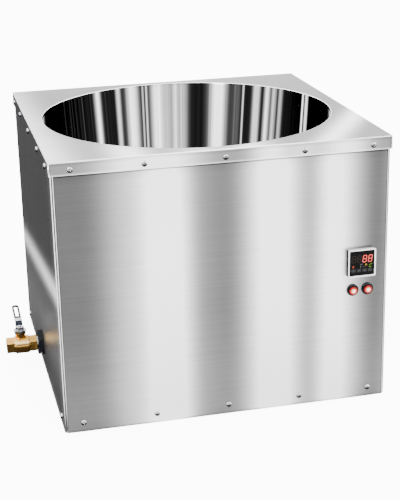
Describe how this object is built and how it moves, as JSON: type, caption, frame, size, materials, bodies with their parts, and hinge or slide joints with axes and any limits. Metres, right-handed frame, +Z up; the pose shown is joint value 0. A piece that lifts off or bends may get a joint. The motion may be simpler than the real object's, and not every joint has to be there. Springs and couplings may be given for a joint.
{
  "type": "beeswax melter",
  "caption": "Square stainless steel cabinet with a round polished wax pot, a temperature controller with illuminated switches on the front and a brass ball valve on the left side.",
  "frame": {"origin": "middle of the base, on the surface it stands on", "axes": "+Z up, -Y towards the front with the controls, -X towards the outlet valve"},
  "size_m": [0.6207, 0.5661, 0.456],
  "materials": {
    "brushed_steel": "horizontally brushed stainless steel",
    "side_steel": "smooth stainless steel sheet",
    "polished_steel": "polished stainless steel",
    "screw_steel": "bright stainless fasteners",
    "lever_steel": "polished lever, stem and nut",
    "chrome": "chromed ball",
    "heater_aluminium": "cast and extruded aluminium",
    "mica": "mica band heater",
    "insulation": "mineral wool blanket",
    "black_plastic": "black moulded plastic",
    "black_gloss": "glossy black",
    "black_face": "glossy black display face",
    "light_rim": "light silver-grey rim",
    "circuit_board": "circuit board",
    "pale_plastic": "pale ceramic-filled plastic",
    "wire_red": "red glass-braid wire",
    "wire_white": "white wire",
    "red_lens": "glowing red lens",
    "key_grey": "dark grey keys",
    "black_rubber": "black rubber",
    "brass": "bright brass",
    "seat_white": "white seat plastic"
  },
  "bodies": {
    "cabinet": {"base_tray": "side_steel", "front_panel": "brushed_steel", "rear_panel": "brushed_steel", "left_panel": "side_steel", "right_panel": "side_steel", "top_cover": "brushed_steel", "melting_pot": "polished_steel", "support_ring": "side_steel", "bottom_heater": "heater_aluminium", "heater_clamp": "side_steel", "heater_nuts": "screw_steel", "bottom_insulation": "insulation", "side_heater": "mica", "side_heater_clamp": "side_steel", "clamp_bolt": "screw_steel", "side_insulation": "insulation", "electronics_shield": "side_steel", "temperature_probe": "polished_steel", "probe_clip": "side_steel", "overheat_thermostat": "black_plastic", "relay_heat_sink": "heater_aluminium", "solid_state_relay": "black_plastic", "terminal_block": "pale_plastic", "heater_wires": "wire_red", "control_wires": "wire_white", "controller_case": "black_plastic", "controller_board": "circuit_board", "controller_face": "black_face", "controller_bezel": "light_rim", "controller_clamp": "black_plastic", "left_switch_housing": "black_gloss", "right_switch_housing": "black_gloss", "switch_nuts": "black_plastic", "gland_body": "black_plastic", "gland_seal": "black_rubber", "gland_cap": "black_plastic", "gland_locknut": "black_plastic", "outlet_pipe": "polished_steel", "panel_seal": "black_rubber", "outlet_locknut": "black_gloss", "valve_body": "brass", "valve_end": "brass", "ball_seats": "seat_white", "stem_packing": "seat_white", "packing_nut": "brass", "cover_screws": "screw_steel", "base_screws": "screw_steel"},
    "lever": {"valve_lever": "lever_steel", "lever_nut": "lever_steel", "valve_stem": "lever_steel", "valve_ball": "chrome"},
    "set_key": {"set_key": "key_grey"},
    "down_key": {"down_key": "key_grey"},
    "up_key": {"up_key": "key_grey"},
    "mode_key": {"mode_key": "key_grey"},
    "left_button": {"left_switch_button": "red_lens"},
    "right_button": {"right_switch_button": "red_lens"}
  },
  "joints": [
    {"name": "lever_turn", "type": "hinge", "parent": "cabinet", "child": "lever", "pos_m": [-0.315, 0.013, 0.073], "axis": [0, 0, 1], "range_deg": [0, 90]},
    {"name": "set_key_press", "type": "slide", "parent": "cabinet", "child": "set_key", "axis": [0, 1, 0], "range_m": [0, 0.0004], "stiffness_N_per_m": 1000, "springref_m": -0.0004},
    {"name": "down_key_press", "type": "slide", "parent": "cabinet", "child": "down_key", "axis": [0, 1, 0], "range_m": [0, 0.0004], "stiffness_N_per_m": 1000, "springref_m": -0.0004},
    {"name": "up_key_press", "type": "slide", "parent": "cabinet", "child": "up_key", "axis": [0, 1, 0], "range_m": [0, 0.0004], "stiffness_N_per_m": 1000, "springref_m": -0.0004},
    {"name": "mode_key_press", "type": "slide", "parent": "cabinet", "child": "mode_key", "axis": [0, 1, 0], "range_m": [0, 0.0004], "stiffness_N_per_m": 1000, "springref_m": -0.0004},
    {"name": "left_button_press", "type": "slide", "parent": "cabinet", "child": "left_button", "axis": [0, 1, 0], "range_m": [0, 0.0025], "stiffness_N_per_m": 600, "springref_m": -0.001},
    {"name": "right_button_press", "type": "slide", "parent": "cabinet", "child": "right_button", "axis": [0, 1, 0], "range_m": [0, 0.0025], "stiffness_N_per_m": 600, "springref_m": -0.001}
  ]
}
